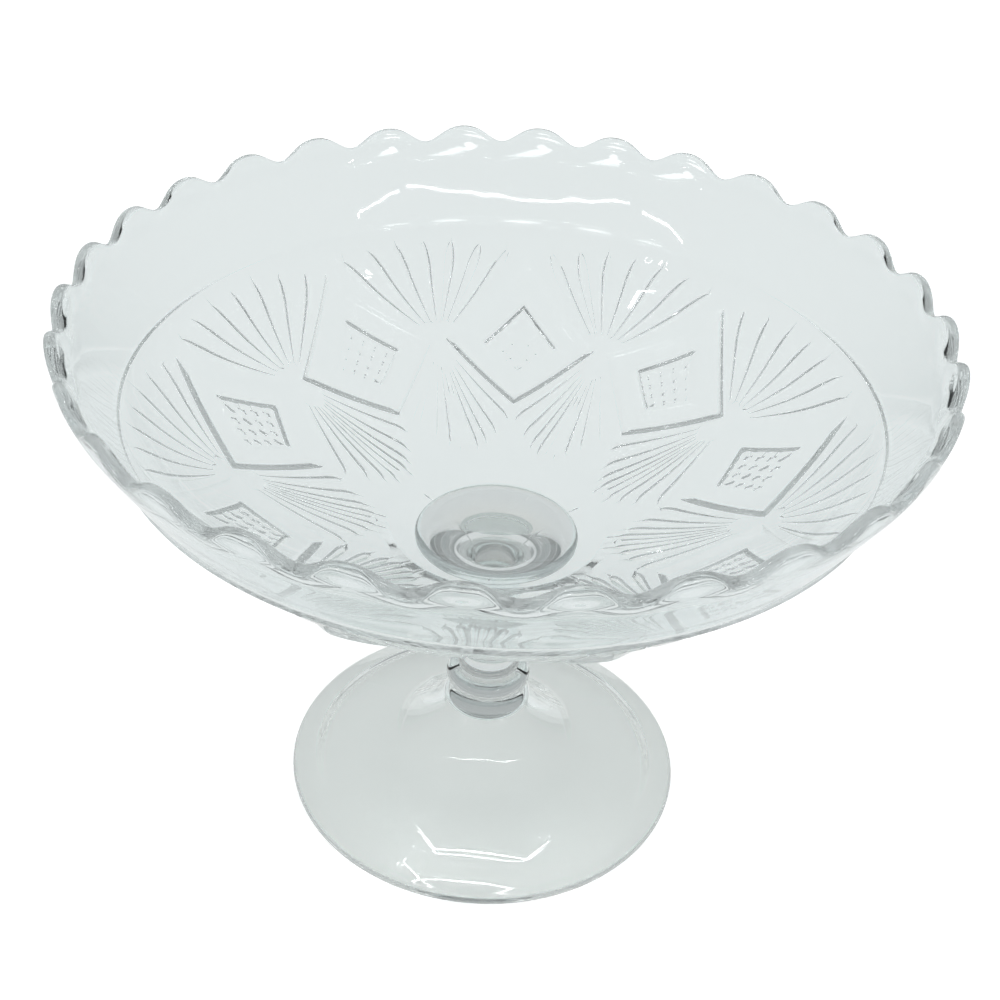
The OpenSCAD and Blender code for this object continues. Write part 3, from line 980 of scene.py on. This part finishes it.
def surroundings():
    """A plain grey room, the same to the eye, to the glass and to the light."""
    world = bpy.data.worlds.new("room")
    scene.world = world
    world.use_nodes = True
    nodes, links = world.node_tree.nodes, world.node_tree.links
    place = nodes.new("ShaderNodeTexCoord")
    split = nodes.new("ShaderNodeSeparateXYZ")
    tones = nodes.new("ShaderNodeValToRGB")
    tones.color_ramp.elements[0].position = 0.0
    tones.color_ramp.elements[0].color = (0.37, 0.39, 0.39, 1)
    tones.color_ramp.elements[1].position = 1.0
    tones.color_ramp.elements[1].color = (0.5, 0.52, 0.52, 1)
    middle = tones.color_ramp.elements.new(0.4)
    middle.color = (0.55, 0.57, 0.57, 1)
    room = nodes["Background"]
    room.inputs["Strength"].default_value = 1
    links.new(place.outputs["Generated"], split.inputs["Vector"])
    links.new(split.outputs["Z"], tones.inputs["Fac"])
    links.new(tones.outputs["Color"], room.inputs["Color"])


def strip(name, start, end, width, glow, aim=(0, 0, 0.1)):
    """A thin lamp from one point to another that faces the object."""
    start, end = Vector(start), Vector(end)
    middle = (start + end) / 2
    data = bpy.data.lights.new(name, "AREA")
    data.shape = "RECTANGLE"
    data.size = (end - start).length
    data.size_y = width
    data.energy = glow * data.size * data.size_y
    lamp = bpy.data.objects.new(name, data)
    scene.collection.objects.link(lamp)
    x_way = (end - start).normalized()
    z_way = middle - Vector(aim)
    z_way = (z_way - x_way * z_way.dot(x_way)).normalized()
    rotation = Matrix((x_way, z_way.cross(x_way), z_way)).transposed().to_4x4()
    lamp.matrix_world = Matrix.Translation(middle) @ rotation
    lamp.visible_camera = False
    return lamp


def bowed(left, middle, right, count):
    """Places along the smooth curve through three points."""
    left, middle, right = Vector(left), Vector(middle), Vector(right)
    return [
        left * (1 - t) * (1 - 2 * t) + middle * 4 * t * (1 - t) + right * t * (2 * t - 1)
        for t in np.linspace(0, 1, count + 1).tolist()]


def panels():
    """A row of oval panels, seen only in the lips of the scallops opposite."""
    x, y, z = PANEL_ROW
    for number in range(PANELS):
        step = number - (PANELS - 1) / 2
        middle = Vector((x + PANEL_STEP * step, y, z))
        lobe = pi / 2 + 2 * pi / SCALLOPS * step
        aim = Vector((LOBE_RING * cos(lobe), LOBE_RING * sin(lobe), LOBE_HEIGHT))
        across = (aim - middle).cross(Vector((0, 0, 1))).normalized() * PANEL_WIDTH / 2
        ends = middle - across, middle + across
        lamp = strip(f"panel behind the camera {number + 1}", *ends, PANEL_HEIGHT, PANEL_GLOW, aim)
        lamp.data.shape = "ELLIPSE"
        lamp.data.spread = PANEL_SPREAD
        lamp.visible_diffuse = False


def tray(name, x, y, half, out, back, glow):
    """A long strip and two short slanting ones, which shine down on the foot."""
    corners = ((x - half - out, y + back), (x - half, y), (x + half, y), (x + half + out, y + back))
    for number, (start, end) in enumerate(zip(corners, corners[1:])):
        aim = (FOOT_AIM_SHARE * (start[0] + end[0]) / 2, *FOOT_AIM)
        ends = (*start, UNDER_BOWL), (*end, UNDER_BOWL)
        lamp = strip(f"{name} {number + 1}", *ends, FOOT_TUBE, glow, aim)
        lamp.data.spread = FOOT_SPREAD
        lamp.visible_diffuse = False


def lamps():
    """Thin strips of a lamp frame, which draw fine bright lines in the glass."""
    places = bowed(*LONG_SIDE, 6)
    for number, (start, end) in enumerate(zip(places, places[1:])):
        strip(f"frame long side {number + 1}", start, end, FRAME_TUBE, BOWL_GLOW)
    strip("frame left side", *LEFT_SIDE, FRAME_TUBE, BOWL_GLOW)
    strip("frame right side", *RIGHT_SIDE, FRAME_TUBE, BOWL_GLOW)
    for number, (start, end) in enumerate(FAR_CORNERS):
        strip(f"frame far corner {number + 1}", start, end, CORNER_TUBE, BOWL_GLOW)
    panels()
    tray("near strip under the bowl", *NEAR_TRAY, NEAR_FOOT_GLOW)
    tray("far strip under the bowl", *FAR_TRAY, FAR_FOOT_GLOW)


# Camera, from the outline of the rim and the foot in a square picture
CAMERA_TURN = radians(3.024)
CAMERA_RISE = radians(28.887)
CAMERA_REACH = 434.54
CAMERA_ROLL = radians(-3.511)
CAMERA_YAW = radians(0.055)
CAMERA_PITCH = radians(-6.848)
PICTURE_FOCUS = 1.6273
SENSOR = 36


def camera():
    data = bpy.data.cameras.new("camera")
    data.sensor_width = SENSOR
    data.lens = PICTURE_FOCUS * SENSOR
    data.clip_start = 0.01
    seen = bpy.data.objects.new("camera", data)
    scene.collection.objects.link(seen)
    away = np.array((0, -cos(CAMERA_RISE), sin(CAMERA_RISE)))
    right = np.array((1.0, 0, 0))
    ahead = -away
    up = np.cross(right, ahead)
    turned_ahead = sin(CAMERA_YAW) * right + cos(CAMERA_YAW) * ahead
    x_way = cos(CAMERA_YAW) * right - sin(CAMERA_YAW) * ahead
    y_way = cos(CAMERA_PITCH) * up - sin(CAMERA_PITCH) * turned_ahead
    z_way = sin(CAMERA_PITCH) * up + cos(CAMERA_PITCH) * turned_ahead
    x_axis = cos(CAMERA_ROLL) * x_way - sin(CAMERA_ROLL) * y_way
    y_axis = sin(CAMERA_ROLL) * x_way + cos(CAMERA_ROLL) * y_way
    rotation = Matrix((x_axis, y_axis, -z_way)).transposed().to_4x4()
    place = Matrix.Translation(Vector(away * CAMERA_REACH * MM) + Vector((0, 0, cad_box[1][2])))
    seen.matrix_world = Matrix.Rotation(CAMERA_TURN, 4, "Z") @ place @ rotation
    scene.camera = seen


camera()
floor()
surroundings()
lamps()
clear_glass = glass_material()
# The grey of the fused faces is partly the glass's tint through its depth and partly painted shade on the
# stem seen through the bowl's floor
bowl([clear_glass, fused_material("fused joint", 0.89)])
thick_glass = [clear_glass, fused_material("fused joint, thick glass", 0.88)]
stem(thick_glass)
joining_wafer(thick_glass)
foot(thick_glass)
scene.view_settings.view_transform = "Standard"
scene.cycles.use_denoising = True
scene.cycles.sample_clamp_indirect = 30
scene.cycles.max_bounces = 32
scene.cycles.glossy_bounces = 24
scene.cycles.transmission_bounces = 32
scene.cycles.transparent_max_bounces = 32
bpy.context.view_layer.update()
